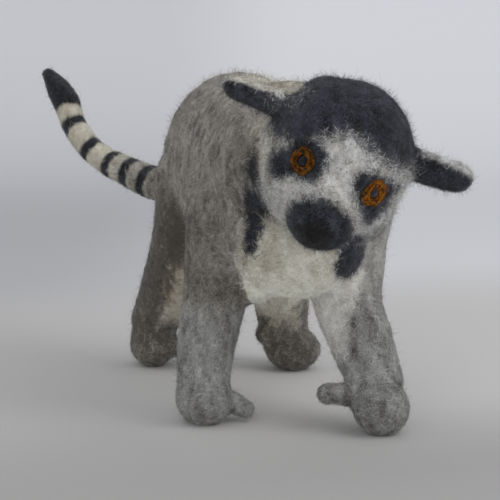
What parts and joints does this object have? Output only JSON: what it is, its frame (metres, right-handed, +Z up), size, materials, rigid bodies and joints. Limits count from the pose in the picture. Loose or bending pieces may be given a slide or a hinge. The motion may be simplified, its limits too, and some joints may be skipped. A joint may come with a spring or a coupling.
{
  "type": "needle-felted wool lemur figure",
  "caption": "Small soft-sculpted ring-tailed lemur of needle-felted wool, walking on all fours with its head turned and its ringed tail raised, standing on its own soles.",
  "frame": {"origin": "middle of the whole figure's extent across and along, at floor level under its soles", "axes": "+Z up, -Y the way the figure walks, +X towards the figure's own left"},
  "size_m": [0.099, 0.2536, 0.1129],
  "materials": {
    "grey_wool": "matte felted wool",
    "pale_wool": "matte felted wool",
    "cream_wool": "matte felted wool",
    "slate_wool": "matte felted wool",
    "black_wool": "matte felted wool",
    "amber_wool": "matte felted wool"
  },
  "bodies": {
    "root": {"big_toe_left": "pale_wool", "big_toe_right": "pale_wool", "ear_left": "slate_wool", "ear_right": "slate_wool", "foreleg_left": "grey_wool", "foreleg_right": "grey_wool", "forepaw_left": "pale_wool", "forepaw_right": "pale_wool", "forethumb_left": "pale_wool", "forethumb_right": "pale_wool", "head": "cream_wool", "hind_leg_left": "grey_wool", "hind_leg_right": "grey_wool", "hindpaw_left": "pale_wool", "hindpaw_right": "pale_wool", "iris_left": "amber_wool", "iris_right": "amber_wool", "muzzle": "slate_wool", "neck": "grey_wool", "nose": "black_wool", "pupil_left": "black_wool", "pupil_right": "black_wool", "tail_base": "cream_wool", "tail_middle": "cream_wool", "tail_tip": "black_wool", "tail_upper": "cream_wool", "trunk": "grey_wool"}
  },
  "joints": []
}
